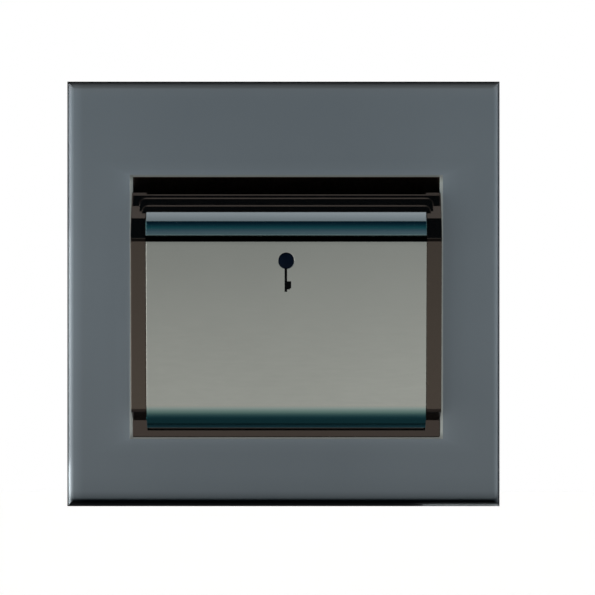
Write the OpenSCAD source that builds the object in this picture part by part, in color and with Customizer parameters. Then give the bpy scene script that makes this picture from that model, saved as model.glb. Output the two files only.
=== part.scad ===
// Hotel key card switch: a metal face plate with a hooded card slot, on a switch for a square wall box.
// X runs to the right, Y into the wall and Z up. The wall's surface is y = 0 and the origin lies midway
// between the two wall screws. "Front" values are distances out of the wall, "depth" values go into it.

/* [Face plate] */
// Width of the face plate
plate_w = 86; // [82:0.5:92]
// Height of the face plate
plate_h = 84.5; // [82:0.5:92]
// Distance of the plate's face from the wall
plate_front = 5.6; // [5.4:0.1:6.4]
// Thickness of the plate's metal
plate_wall = 1.7; // [1.7:0.1:2]
// Radius of the plate's rounded front edges
plate_edge_r = 1.5; // [1:0.1:2.4]
// Radius of the plate's edges on the inside
plate_inner_r = 0.5; // [0.3:0.1:0.8]
// Inward height of the four snap ribs on the plate's rim
snap_h = 0.8; // [0.6:0.1:1]
// Length of a snap rib
snap_l = 10; // [6:1:16]
// Height of the snap ribs above and below the plate's middle
snap_z = 24; // [16:1:30]

/* [Insert] */
// Width of the card holder in the plate's window
insert_w = 60.9; // [60:0.1:64]
// Height of the card holder in the plate's window
insert_h = 51.6; // [50:0.1:56]
// How far the holder's middle lies below the plate's middle
insert_drop = 2.6; // [1:0.1:4]
// How far the holder's middle lies to the right of the plate's middle
insert_shift = 0.6; // [0:0.1:0.8]
// Gap round the holder in the window
window_gap = 0.1; // [0.05:0.05:0.2]
// Width of the holder's flange behind the plate
flange_lip = 1.5; // [1:0.1:2.5]

/* [Card slot] */
// Width of the card that the slot takes
card_w = 54; // [53:0.1:55]
// Play on each side of the card
card_gap = 0.55; // [0.4:0.05:0.7]
// How far the slot's rear face lies behind the plate's face
lead_in = 1.6; // [1.4:0.1:1.6]
// Height of the sloped lead-in above the slot
lead_in_h = 3.4; // [3:0.1:4]
// Slot's depth, front to back, behind the cover's top edge
slot_top_gap = 6; // [5.8:0.1:6.2]
// Slot's depth, front to back, at the card stop
slot_toe_gap = 2.8; // [2.4:0.1:3.4]
// Thickness of the slot's front wall
slot_wall = 1.5; // [1.2:0.1:1.8]
// Height of the card stop above the holder's lower edge
stop_rise = 8.6; // [8:0.1:10]

/* [Stepped lip] */
// Drop of each step's top below the holder's top edge
tier_drop = [3.6, 4.3, 5.8]; // [3:0.1:6.5]
// Front of each step, measured from the plate's face
tier_front = [5.7, 6.6, 7.5]; // [5.4:0.1:9]
// Inset of each step's ends from the holder's sides
tier_inset = [0.2, 1.6, 2.1]; // [0:0.1:2.3]
// Radius of each step's upper corners
tier_r = [0.5, 1.4, 1.4]; // [0.3:0.1:2]
// Bevel along each step's upper front edge
tier_bevel = 0.25; // [0.2:0.05:0.4]
// Lean of each step's front face from the vertical
tier_lean = 24; // [18:1:26]

/* [Hood and cover] */
// Height of the brow above the plate's face
brow_h = 11; // [10:0.1:12]
// Radius of the brow's bulge
brow_r = 8; // [6:0.5:10]
// Angle that the brow's bulge turns through
brow_angle = 25; // [22:1:28]
// Angle at which the brow's curve ends, over the notch
brow_end = 4.5; // [3:0.5:6]
// Drop of the cover's top edge below the holder's top edge
cover_drop = 7.1; // [6.8:0.1:8]
// Drop of the brow's lower edge below the holder's top edge
brow_drop = 12.4; // [11.5:0.1:13]
// Height of the notch under the brow
notch_h = 1.2; // [0.8:0.1:1.3]
// Depth of the notch under the brow
notch_depth = 1.2; // [0.8:0.1:1.4]
// How far the face lies behind the brow
step_depth = 0.6; // [0.4:0.1:0.8]
// Lean of the cover's face from the vertical
face_lean = 5.25; // [3:0.25:6.5]
// Radius of the cover's rolled lower edge
roll_r = 5.6; // [4:0.1:6]
// Angle at which the roll ends, from straight ahead
roll_end = 66; // [60:1:80]
// Height of the cover's lower edge above the holder's lower edge
cover_rise = 1.5; // [1.4:0.1:3]
// Thickness of the cover's metal
cover_wall = 1; // [0.8:0.1:1.2]
// Gap between the cover and the cheeks
cover_gap = 0.1; // [0.1:0.05:0.3]
// Height, along the face, of each bent tab on the cover's sides
tab_h = 5; // [3:0.5:7]
// Depth of the bent tabs
tab_l = 3; // [2:0.1:3.5]
// Thickness of the ribs that back the cover
rib_wall = 1.2; // [1:0.1:1.6]

/* [Indicator] */
// Radius of the indicator lens
lens_r = 1.5; // [1.2:0.1:2]
// Drop of the lens below the holder's top edge
lens_drop = 16.7; // [15:0.1:18]
// Radius of the lamp's body
led_r = 1.5; // [1.3:0.1:1.6]
// Length of the lamp in front of its board
led_l = 4.6; // [4:0.1:5]
// Width of the indicator board
board_w = 36; // [34:1:40]
// Height of the indicator board
board_h = 18; // [17:0.5:18.5]
// Thickness of the indicator board
board_t = 1.6; // [1.2:0.1:2]
// Stand-off of the board behind the mounting frame
board_off = 1.2; // [1:0.1:1.6]

/* [Mounting frame] */
// Thickness of the mounting frame
frame_t = 2.6; // [2.4:0.1:2.7]
// Gap between the frame's edge and the plate's rim
frame_gap = 0.4; // [0.2:0.05:0.5]
// Spacing of the wall screws
screw_spacing = 60.3; // [60.1:0.1:60.5]
// Radius of the wall screws' holes
screw_hole_r = 2; // [1.8:0.1:2.2]
// Radius of the wall screws' countersinks
screw_sink_r = 3.4; // [3:0.1:3.6]
// Width of the rim that backs the plate
rim_w = 1.6; // [1.2:0.1:2]

/* [Card lever] */
// Depth of the lever's pin behind the wall's surface
pivot_depth = 3.2; // [3.1:0.1:3.6]
// Height of the lever's pin
pivot_z = -1.5; // [-2:0.1:-1]
// Radius of the lever's pin
pin_r = 1; // [0.8:0.05:1.2]
// Running clearance of the lever on its pin
pin_gap = 0.05; // [0.02:0.01:0.1]
// Clearance of the pin in its two lugs
pin_hold = 0.02; // [0.01:0.01:0.05]
// Radius of the lever's hub
hub_r = 2.8; // [2.4:0.1:2.9]
// Width of the lever's hub and arm
lever_w = 11.6; // [10:0.1:11.8]
// Width of the lever's nose
nose_w = 9; // [7:0.1:9.4]
// Reach of the nose into the slot
nose_reach = 5; // [4.5:0.1:5.5]
// Drop of the nose's tip below the pin
nose_drop = 12.5; // [12:0.1:13.5]
// Thickness of the lever's arm
arm_t = 3.4; // [3:0.1:3.6]
// Swing of the lever in degrees
lever_swing = 18; // [14:1:18]
// Drop of the plunger below the lever's pin
plunger_drop = 6; // [5.8:0.1:6.2]

/* [Return spring] */
// Radius of the spring's wire
wire_r = 0.25; // [0.2:0.05:0.35]
// Mean radius of the spring's turns
spring_r = 2; // [1.8:0.1:2.2]
// Number of the spring's turns
spring_turns = 7; // [5:1:9]
// Length of the spring with the lever at rest
spring_l = 13.6; // [12.5:0.1:14]
// Drop of the spring below the lever's pin
spring_drop = 15; // [14.9:0.1:15.5]

/* [Switch] */
// Length of the switch's case
case_l = 27.8; // [27:0.1:29]
// Thickness of the switch's case with its lid
case_t = 10.3; // [9.5:0.1:10.4]
// Wall of the switch's case
case_wall = 1.2; // [1:0.1:1.4]
// Distance of the plunger from the case's right end
plunger_end = 9.9; // [9.5:0.1:10.5]
// Radius of the plunger
plunger_r = 1.2; // [1:0.1:1.5]
// Length of the plunger outside the case
plunger_out = 2.1; // [2:0.1:2.4]
// Gap between the open contacts
contact_gap = 1.2; // [1:0.05:1.4]
// Thickness of the contact blade
blade_t = 0.4; // [0.3:0.05:0.5]
// Width of the contact blade and the tabs
tab_w = 5; // [4:0.1:6]
// Thickness of the tabs and links
link_t = 0.8; // [0.6:0.1:1]
// Width of the links
link_w = 6; // [5:0.1:7]

/* [Terminals] */
// Spacing of the terminals
terminal_pitch = 15; // [14:0.5:16]
// Width of a terminal block
terminal_w = 9; // [8:0.5:10]
// Depth of a terminal block
terminal_d = 10; // [9.5:0.1:10.4]
// Height of a terminal block
terminal_h = 9.5; // [9:0.1:10]
// Radius of the bore for the wire
wire_bore_r = 2.3; // [2:0.05:2.5]
// Radius of the terminal screws
clamp_r = 1.65; // [1.4:0.05:1.75]

/* [Rear housing] */
// Width of the rear housing
tub_w = 49; // [47:0.5:50]
// Depth of the rear housing
tub_d = 30; // [27:0.5:36]
// Wall of the rear housing
tub_wall = 1.5; // [1.3:0.1:1.8]
// Radius of the rear housing's corners
tub_r = 3; // [2:0.5:4]
// Room under the lever
tub_floor_gap = 21.5; // [21:0.5:23]
// Radius of the housing screws
case_screw_r = 1.3; // [1.1:0.1:1.4]

/* [Hidden] */
$fn = 96;
// Overshoot of a cut past the face that it opens
over = 1;
// Gap between pieces that seat on each other
seat = 0.1;
// Clearance of a screw in its hole
thread_gap = 0.05;
// Clearance round what passes through a window
pass_gap = 1;
// Metal or plastic left in front of a blind hole
blind_wall = 0.3;
// Gap between a screw's tip and the end of its hole
tip_gap = 0.2;
// How far one body of a piece runs into another, so that they are one
lap = 0.3;
// Clearance round the lamp
lamp_gap = 0.2;

// Heights of the card holder
insert_mid = -insert_drop;
insert_top = insert_mid + insert_h / 2;
insert_low = insert_mid - insert_h / 2;
mouth_z = insert_top - lead_in_h;
stop_z = insert_low + stop_rise;
cover_top = insert_top - cover_drop;
lens_z = insert_top - lens_drop;
stem_inset = 0.15;
stem_r = lens_r - stem_inset;

// Fronts of the card holder
plate_back = plate_front - plate_wall;
flange_back = frame_t + seat;
slot_back = plate_front - lead_in;
slot_w = card_w + 2 * card_gap;
cover_w = slot_w - 2 * cover_gap;
cheek_w = (insert_w - slot_w) / 2;
slot_top_front = slot_back + slot_top_gap;
slot_toe_front = slot_back + slot_toe_gap;
snap_fronts = [0.4, 0.8] * frame_t;
snap_gap = 0.3;
head_room = 4.2;
panel_gap = 0.15;
panel_low = insert_low + cover_rise;
tongue_t = 0.6;
tongue_h = 1.2;
cheek_inset = 0.1;
bevel_rise = 0.25;
tab_inset = 6;
pocket_depth = 0.4;

// The cover's section: edge, brow, step, leaning face and roll, as points of front and height
brow_mid = [plate_front + brow_h - brow_r, insert_top - brow_drop];
brow_low = brow_mid + brow_r * [cos(brow_end), sin(brow_end)];
face_top = brow_low - [step_depth, notch_h];
face_out = [cos(face_lean), -sin(face_lean)];
roll_mid_z = insert_low + cover_rise + roll_r;
roll_mid_front = face_top[0] - (roll_r + (face_top[1] - roll_mid_z) * sin(face_lean)) / cos(face_lean);
roll_mid = [roll_mid_front, roll_mid_z];
lip_low = cover_top - 2 * lap;
lip_run = (insert_top - tier_drop[2] - tier_bevel - lip_low) * tan(tier_lean);
edge_front = plate_front + tier_front[2] + lip_run + cover_gap;

// Front of the cover's leaning face at a height, set back by a distance
function face_front(z, back) =
    face_top[0] - back / cos(face_lean) - (face_top[1] - z) * tan(face_lean);

// How far the cover's sloped top runs forward for each unit that it drops
function cover_slope() =
    (brow_mid[0] + brow_r * cos(brow_angle) - edge_front)
    / (cover_top - brow_mid[1] - brow_r * sin(brow_angle));

// Front of the slot's front wall at a height
function slot_front(z) =
    slot_toe_front + (slot_top_front - slot_toe_front) * (z - stop_z) / (cover_top - stop_z);

// The lever, in depth and height
nose_tip = [-(slot_back + nose_reach), pivot_z - nose_drop];
nose_tip_r = 0.8;
nose_root_drop = 6;
nose_heel_drop = 0.2;
arm_front = pivot_depth - hub_r + tip_gap;
arm_back = arm_front + arm_t;
pad_r = 1.8;
pad_out = 0.5;
pad_w = 6;
pad_depth = arm_back + pad_out;
plunger_z = pivot_z - plunger_drop;
spring_z = pivot_z - spring_drop;
spring_seat = 0.1;
spigot_r = spring_r - wire_r - lap;
spigot_l = 2;
arm_rim = 0.4;
arm_low = spring_z - spring_r - arm_rim;
ear_w = 2.6;
ear_gap = 0.3;
window_w = nose_w + 2 * pass_gap;
window_rise = 7.5;
window_drop = 6.5;
window_top = nose_tip[1] + window_rise;
window_low = nose_tip[1] - window_drop;
slot_window_rise = 3.2;
slot_window_drop = 4.5;
slot_window_top = nose_tip[1] + slot_window_rise;
slot_window_low = nose_tip[1] - slot_window_drop;

// The switch, in depth
plunger_tip = pad_depth + pad_r + seat;
case_front = plunger_tip + plunger_out;
clamp_head_h = 2;
clamp_head_gap = 0.5;
link_back = tub_d - tub_wall - clamp_head_h - clamp_head_gap;
link_front = link_back - link_t;
case_back = link_front - link_t;
case_right = plunger_end;
case_left = plunger_end - case_l;
case_low = plunger_z - case_t / 2;
case_high = plunger_z + case_t / 2;
plunger_travel = plunger_drop * sin(lever_swing);
blade_inset = 8.1;
blade_pivot_inset = 3.9;
blade_front = case_front + blade_inset;
blade_pivot_x = case_left + blade_pivot_inset;
rivet_r = 1.4;
rivet_gap = 0.4;
contact_x = case_right - case_wall - rivet_r - rivet_gap;
rivet_h = 0.7;
blade_lift = contact_gap * -blade_pivot_x / (contact_x - blade_pivot_x);
plunger_end_depth = blade_front - (plunger_travel - blade_lift) - 2 * seat;
collar_rim = 0.8;
collar_r = plunger_r + collar_rim;
collar_t = 1;
blade_w = tab_w - 1;
blade_curl_r = 2 * blade_t;
blade_gap = 0.3;
lid_lip_t = 1.4;
lid_lip_h = 0.8;
post_w = 2;
post_h = 4;
post_places = [case_left + 2 * post_w, case_right - post_w];

// The rear housing and the terminals
tub_low = pivot_z - tub_floor_gap - tub_wall;
shelf_t = 1.2;
terminal_rise = 16.85;
terminal_low = case_high + terminal_rise;
terminal_top = terminal_low + terminal_h;
tub_top = terminal_top + 2 * seat + tub_wall;
tub_mid = (tub_top + tub_low) / 2;
tub_h = tub_top - tub_low;
terminal_front = link_front - terminal_d;
wire_inset = 4.2;
wire_depth = terminal_front + wire_inset;
clamp_rise = 4.5;
clamp_z = terminal_low + clamp_rise;
clamp_gap = 0.2;
clamp_head_r = 2.5;
ear_r = 3.4;
ear_t = 2.5;
ear_drop = 3.5;
case_screw_gap = 0.25;
case_head_r = 2.4;
ear_x = tub_w / 2 + case_head_r + case_screw_gap;
case_head_h = 1.8;
shelf_inset = 3.5;
shelf_front = case_front + shelf_inset;
shelf_back = case_back + link_t / 2;
case_stop_x = [-6, -2];
cup_wall = 0.6;
cup_spigot_l = 2.5;
entry_gap = 0.4;

// The indicator board
lever_room = 1.2;
board_low = pivot_z + hub_r + lever_room;
board_back = board_off + board_t;
board_screw_inset = 4;
board_screw_rise = 5.5;
board_screw_x = board_w / 2 - board_screw_inset;
board_screw_z = board_low + board_screw_rise;
board_screw_r = 0.95;
board_screw_gap = 0.15;
board_boss_r = 2.4;
board_head_r = 1.9;
board_head_h = 1.2;
board_pin_r = 0.6;
board_pin_out = 0.4;
board_pin_drop = 3;
board_pin_z = board_low + board_h - board_pin_drop;
led_rim = 0.4;
led_rim_r = led_r + led_rim;
led_rim_t = 0.9;
led_lead_r = 0.25;
led_lead_gap = 0.1;
led_lead_out = 0.8;
led_lead_pitch = 1.27;

// The screws of the slot's rear panel
panel_screw_x = 20;
panel_screw_drop = 3.6;
panel_screw_z = stop_z - panel_screw_drop;
panel_screw_r = 0.9;
panel_screw_l = 2.6;
panel_screw_gap = 0.2;
panel_boss_r = 2.1;
panel_boss_l = 3.3;

// Extrudes a section drawn as front and height, along X
module across(w) {
    translate([-w / 2, 0, 0]) rotate([90, 0, 90]) linear_extrude(w) mirror([1, 0]) children();
}

// Extrudes a section drawn as depth and height, along X
module across_depth(w) {
    translate([-w / 2, 0, 0]) rotate([90, 0, 90]) linear_extrude(w) children();
}

// Extrudes a section drawn as front and width, along Z
module upright(h) {
    translate([0, 0, -h / 2]) linear_extrude(h) rotate(-90) children();
}

// Extrudes a front view between two fronts
module facing(from, to) {
    translate([0, -from, 0]) rotate([90, 0, 0]) linear_extrude(to - from) children();
}

// Extrudes a front view between two depths
module inside(from, to) {
    translate([0, to, 0]) rotate([90, 0, 0]) linear_extrude(to - from) children();
}

// A rod along Y between two depths
module rod(x, z, r, from, to) {
    translate([x, from, z]) rotate([-90, 0, 0]) cylinder(h = to - from, r = r);
}

// A rod along X, centred
module axle(depth, z, r, l) {
    translate([-l / 2, depth, z]) rotate([0, 90, 0]) cylinder(h = l, r = r);
}

// A rectangle with round corners
module rounded(w, h, r) {
    square([w - 2 * r, h], center = true);
    square([w, h - 2 * r], center = true);
    for (x = [-1, 1], z = [-1, 1]) translate([x * (w / 2 - r), z * (h / 2 - r)]) circle(r);
}

// A box from two corners, as width, depth and height
module block(from, to) {
    translate(from) cube(to - from);
}

// A wedge of a plane, from one angle to another
module sector(r, from, to) {
    polygon([[0, 0], 2 * r * [cos(from), sin(from)], 2 * r * [cos(to), sin(to)]]);
}

// A curved strip of sheet, from one angle to another
module bend(mid, r, wall, from, to) {
    translate(mid) intersection() {
        difference() {
            circle(r);
            circle(r - wall);
        }
        sector(r, from, to);
    }
}

// Section through a tray with rounded front edges
module tray_section(span, back, front, r) {
    translate([back, -span / 2]) square([front - r - back, span]);
    translate([back, r - span / 2]) square([front - back, span - 2 * r]);
    for (side = [-1, 1]) translate([front - r, side * (span / 2 - r)]) circle(r);
}

// A tray whose rounded edges meet in mitred corners
module tray(w, h, back, front, r) {
    intersection() {
        across(w) tray_section(h, back, front, r);
        upright(h) tray_section(w, back, front, r);
    }
}

// A screw with a slotted pan head, its head to the rear
module screw(x, z, r, head_r, head_h, seat_depth, tip_depth) {
    slot_w = 0.4 * head_r;
    difference() {
        union() {
            rod(x, z, r, tip_depth, seat_depth);
            rod(x, z, head_r, seat_depth, seat_depth + head_h);
        }
        translate([x - slot_w / 2, seat_depth + head_h / 2, z - head_r]) cube([slot_w, head_h, 2 * head_r]);
    }
}

// Pressed metal plate with rounded edges, a window and snap ribs inside its rim
module face_plate() {
    rim_x = plate_w / 2 - plate_wall;
    color("slategray") {
        difference() {
            tray(plate_w, plate_h, 0, plate_front, plate_edge_r);
            tray(
                plate_w - 2 * plate_wall, plate_h - 2 * plate_wall, -over, plate_back, plate_inner_r
            );
            translate([insert_shift, 0, insert_mid]) facing(0, plate_front + over)
                square([insert_w + 2 * window_gap, insert_h + 2 * window_gap], center = true);
        }
        for (side = [-1, 1], up = [-1, 1])
            scale([side, 1, 1]) translate([0, 0, up * snap_z - snap_l / 2]) linear_extrude(snap_l)
                polygon([
                    [rim_x, -snap_fronts[0]], [rim_x, -snap_fronts[1]],
                    [rim_x - snap_h, -(snap_fronts[0] + snap_fronts[1]) / 2]
                ]);
    }
}

// Moulded yoke that carries the plate, the lever, the indicator board and the rear housing
module mounting_frame() {
    frame_w = plate_w - 2 * (plate_wall + frame_gap);
    frame_h = plate_h - 2 * (plate_wall + frame_gap);
    groove = snap_h - frame_gap + snap_gap;
    corner_r = 1.5;
    rib_pitch = 12;
    rib_gap = 2;
    rim_front = plate_back - 2 * seat;
    color("dimgray") difference() {
        union() {
            facing(0, frame_t) rounded(frame_w, frame_h, corner_r);
            facing(frame_t, rim_front) difference() {
                rounded(frame_w, frame_h, corner_r);
                rounded(frame_w - 2 * rim_w, frame_h - 2 * rim_w, corner_r);
            }
            for (x = rib_pitch * [-2, -1, 0, 1, 2]) {
                block(
                    [x - rib_wall / 2, -rim_front, insert_top + flange_lip + rib_gap],
                    [x + rib_wall / 2, -frame_t, frame_h / 2 - rim_w / 2]
                );
                block(
                    [x - rib_wall / 2, -rim_front, rim_w / 2 - frame_h / 2],
                    [x + rib_wall / 2, -frame_t, insert_low - flange_lip - rib_gap]
                );
            }
            for (side = [-1, 1]) {
                scale([side, 1, 1]) ear();
                rod(side * board_screw_x, board_screw_z, board_boss_r, 0, board_off);
            }
            for (x = post_places)
                block(
                    [x - post_w / 2, 0, plunger_z - post_h / 2],
                    [x + post_w / 2, case_front - seat, plunger_z + post_h / 2]
                );
        }
        for (side = [-1, 1]) {
            rod(side * screw_spacing / 2, 0, screw_hole_r, -frame_t - over, over);
            translate([side * screw_spacing / 2, -frame_t, 0]) rotate([-90, 0, 0])
                cylinder(h = screw_sink_r - screw_hole_r, r1 = screw_sink_r, r2 = screw_hole_r);
            rod(
                side * board_screw_x, board_screw_z, board_screw_r + thread_gap,
                -frame_t + blind_wall, board_off + over
            );
            for (z = housing_screw_heights())
                rod(side * ear_x, z, case_screw_r + thread_gap, -frame_t + blind_wall, over);
            for (up = [-1, 1])
                scale([side, 1, 1]) block(
                    [frame_w / 2 - groove, -frame_t, up * snap_z - snap_l / 2 - seat],
                    [frame_w / 2 + over, -snap_fronts[0] / 2, up * snap_z + snap_l / 2 + seat]
                );
        }
        block([-window_w / 2, -frame_t - over, window_low], [window_w / 2, over, window_top]);
        rod(insert_shift, lens_z, led_r + lamp_gap, -frame_t - over, over);
        axle(pivot_depth, pivot_z, pin_r + pin_hold, 2 * lever_w);
    }
}

// One of the two lugs that hold the lever's pin
module ear() {
    inner = lever_w / 2 + ear_gap;
    translate([inner, 0, 0]) rotate([90, 0, 90]) linear_extrude(ear_w) {
        translate([pivot_depth, pivot_z]) circle(hub_r);
        translate([0, pivot_z - hub_r]) square([pivot_depth, 2 * hub_r]);
    }
}

function housing_screw_heights() = [tub_low + ear_drop, tub_top - ear_drop];

// Moulded card holder: flange, lead-in, cheeks, slot wall, card stop, stepped lip and ribs
module card_housing() {
    flange_w = insert_w + 2 * flange_lip;
    flange_h = insert_h + 2 * flange_lip;
    panel_seat = panel_low - panel_gap;
    rib_pitch = slot_w / 6;
    rib_places = rib_pitch * [-2, -1, 1, 2];
    color([0.16, 0.13, 0.11]) translate([insert_shift, 0, 0]) difference() {
        union() {
            translate([0, 0, insert_mid]) facing(flange_back, plate_back)
                square([flange_w, flange_h], center = true);
            across(insert_w) lead_in_section();
            for (side = [-1, 1])
                translate([side * (insert_w - cheek_w) / 2, 0, 0]) across(cheek_w) cheek_section();
            across(slot_w + cheek_w) slot_wall_section();
            for (i = [0:2]) lip_step(i);
            across(insert_w) polygon([
                [flange_back, insert_low], [plate_front, insert_low],
                [bevel_front(panel_seat), panel_seat], [flange_back, panel_seat]
            ]);
            for (x = rib_places) translate([x, 0, 0]) across(rib_wall) rib_section();
            for (side = [-1, 1])
                facing(slot_back + seat, slot_back + panel_boss_l)
                    translate([side * panel_screw_x, panel_screw_z]) panel_boss_outline();
        }
        // The opening behind the slot, which the rear panel closes
        block(
            [-slot_w / 2, -slot_back, panel_seat],
            [slot_w / 2, -flange_back + over, mouth_z]
        );
        // The groove for the panel's tongue
        block(
            [-slot_w / 2, -flange_back - tongue_t - seat, mouth_z],
            [slot_w / 2, -flange_back + over, mouth_z + tongue_h + 2 * seat]
        );
        // Room for the heads of the wall screws
        for (side = [-1, 1])
            scale([side, 1, 1])
                block(
                    [slot_w / 2, -slot_back + seat, -head_room],
                    [flange_w / 2 + over, -flange_back + over, head_room]
                );
        // The window that the lever's nose passes through
        block(
            [-window_w / 2, -face_front(window_low, 2 * cover_wall), slot_window_low],
            [window_w / 2, -slot_back, slot_window_top]
        );
        // The seat of the lens
        rod(0, lens_z, stem_r + thread_gap, -face_front(lens_z, 0), -slot_back);
        for (side = [-1, 1])
            rod(
                side * panel_screw_x, panel_screw_z, panel_screw_r + thread_gap,
                -slot_back - panel_screw_l - tip_gap, 0
            );
        // Pockets for the cover's tabs
        for (side = [-1, 1], z = tab_heights())
            scale([side, 1, 1]) block(
                [cover_w / 2 - cover_wall - seat, -face_front(z, cover_wall) - 2 * lap, z - tab_h / 2 - seat],
                [slot_w / 2 + pocket_depth, -face_front(z, cover_wall) + tab_l + seat, z + tab_h / 2 + seat]
            );
    }
}

// Front of the holder's lower bevel at a height
function bevel_front(z) = plate_front + (z - insert_low) * bevel_rise;

function tab_heights() = [face_top[1] - tab_inset, roll_mid[1] + tab_inset];

// Section of the sloped lead-in above the slot
module lead_in_section() {
    polygon([
        [flange_back, mouth_z], [slot_back, mouth_z], [plate_front, insert_top], [flange_back, insert_top]
    ]);
}

// Section of a cheek: slope, brow, step, leaning face, roll and lower bevel
module cheek_section() {
    toe_z = insert_low + 3.4;
    face_low_z = roll_mid[1] - 1.3;
    face_low = [face_front(face_low_z, cheek_inset), face_low_z];
    corner = [0.28, 0.62];
    brow = brow_low - [cheek_inset, notch_h / 2];
    crest_lift = 0.6;
    crest_lean = 24;
    crest_z = brow_mid[1] + brow_r * sin(brow_angle) + crest_lift;
    crest = [brow[0] - (crest_z - brow[1]) * tan(crest_lean), crest_z];
    shoulder_z = insert_top - 3.2;
    polygon([
        [flange_back, insert_low], [plate_front, insert_low], [bevel_front(toe_z), toe_z],
        face_low - corner, face_low, face_top - [cheek_inset, 0],
        brow, crest,
        [crest[0] - (shoulder_z - crest[1]) * cover_slope(), shoulder_z], [flange_back, shoulder_z]
    ]);
}

// Section of the slot's front wall and the card stop
module slot_wall_section() {
    top_z = cover_top - 0.5;
    fillet = [0.8, 3];
    fillet_z = top_z - fillet[1];
    polygon([
        [slot_front(top_z), top_z], [slot_front(top_z) + slot_wall + fillet[0], top_z],
        [slot_front(fillet_z) + slot_wall, fillet_z], [slot_toe_front + slot_wall, stop_z],
        [slot_toe_front + slot_wall, stop_z - slot_wall], [slot_back + seat, stop_z - slot_wall],
        [slot_back + seat, stop_z], [slot_toe_front, stop_z]
    ]);
}

// One step of the lip in front of the slot's mouth
module lip_step(i) {
    top_z = insert_top - tier_drop[i];
    half_w = insert_w / 2 - tier_inset[i];
    back = slot_top_front + lap;
    front = plate_front + tier_front[i];
    below = 2;
    intersection() {
        across(insert_w) polygon([
            [back - lap, lip_low], [back, top_z - tier_r[0]], [back + lap, top_z], [front - tier_bevel, top_z],
            [front, top_z - tier_bevel], [front + (top_z - tier_bevel - lip_low) * tan(tier_lean), lip_low]
        ]);
        facing(0, plate_front + brow_h) translate([0, lip_low - below])
            rounded(2 * half_w, 2 * (top_z - lip_low + below), tier_r[i]);
    }
}

// Section of a rib between the slot's front wall and the cover
module rib_section() {
    top_z = face_top[1] - 2 * cover_wall;
    low_z = stop_z + slot_wall / 3;
    back = cover_wall + seat;
    polygon([
        [slot_front(top_z) + slot_wall / 2, top_z], [face_front(top_z, back), top_z],
        [face_front(low_z, back), low_z], [slot_front(low_z) + slot_wall / 2, low_z]
    ]);
}

// Outline of the boss for a panel screw, joined to the card stop
module panel_boss_outline() {
    circle(panel_boss_r);
    translate([-panel_boss_r, 0]) square([2 * panel_boss_r, stop_z - slot_wall - panel_screw_z + lap]);
}

// Panel that closes the slot from behind, with a window for the lever's nose and a hole for the lamp
module slot_back_panel() {
    half_w = slot_w / 2 - panel_gap;
    color([0.12, 0.1, 0.09]) translate([insert_shift, 0, 0]) difference() {
        union() {
            block([-half_w, -slot_back, panel_low], [half_w, -flange_back, mouth_z - seat]);
            block(
                [-half_w, -flange_back - tongue_t, mouth_z - over],
                [half_w, -flange_back, mouth_z + tongue_h]
            );
        }
        block([-window_w / 2, -slot_back - over, window_low], [window_w / 2, 0, window_top]);
        rod(0, lens_z, led_r + lamp_gap, -slot_back - over, 0);
        for (side = [-1, 1]) {
            rod(side * panel_screw_x, panel_screw_z, panel_screw_r + panel_screw_gap, -slot_back - over, 0);
            panel_screw_sink(side, panel_screw_gap);
        }
    }
}

// Countersunk head of a panel screw, or with a gap its seat
module panel_screw_sink(side, gap) {
    translate([side * panel_screw_x, -flange_back, panel_screw_z]) rotate([90, 0, 0])
        cylinder(h = panel_screw_r, r1 = 2 * panel_screw_r + gap, r2 = panel_screw_r + gap);
}

// Two countersunk screws that hold the panel in the card holder
module panel_screws() {
    color("darkgray") translate([insert_shift, 0, 0]) for (side = [-1, 1]) {
        rod(side * panel_screw_x, panel_screw_z, panel_screw_r, -slot_back - panel_screw_l, -flange_back);
        panel_screw_sink(side, 0);
    }
}

// Pressed metal cover with a brow, a leaning face and a rolled lower edge
module front_cover() {
    edge = [edge_front, cover_top];
    brow_top = brow_mid + brow_r * [cos(brow_angle), sin(brow_angle)];
    brow_top_in = brow_mid + (brow_r - cover_wall) * [cos(brow_angle), sin(brow_angle)];
    slope = (brow_top - edge) / norm(brow_top - edge);
    edge_in = edge - [0, cover_wall / slope[0]];
    face_top_in = face_top - cover_wall * face_out;
    notch = brow_low - [notch_depth, 0];
    notch_lap = brow_end + 8;
    lap_angle = face_lean + 2;
    lap_out = [cos(lap_angle), -sin(lap_angle)];
    color("gray") translate([insert_shift, 0, 0]) difference() {
        union() {
            across(cover_w) {
                polygon([edge, brow_top, brow_top_in, edge_in]);
                bend(brow_mid, brow_r, cover_wall, brow_end, brow_angle);
                polygon([
                    brow_low, notch, face_top, face_top_in, notch - [cover_wall, 0],
                    brow_mid + (brow_r - cover_wall) * [cos(notch_lap), sin(notch_lap)]
                ]);
                polygon([
                    face_top, roll_mid + roll_r * face_out, roll_mid + (roll_r - cover_wall / 4) * lap_out,
                    roll_mid + (roll_r - 3 * cover_wall / 4) * lap_out,
                    roll_mid + (roll_r - cover_wall) * face_out, face_top_in
                ]);
                bend(roll_mid, roll_r, cover_wall, -roll_end, -face_lean);
            }
            for (side = [-1, 1], z = tab_heights())
                scale([side, 1, 1]) block(
                    [cover_w / 2 - cover_wall, -face_front(z, cover_wall) - lap, z - tab_h / 2],
                    [cover_w / 2, -face_front(z, cover_wall) + tab_l, z + tab_h / 2]
                );
        }
        rod(0, lens_z, lens_r + thread_gap, -face_front(lens_z, -over), -face_front(lens_z, 2 * cover_wall));
    }
}

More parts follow.
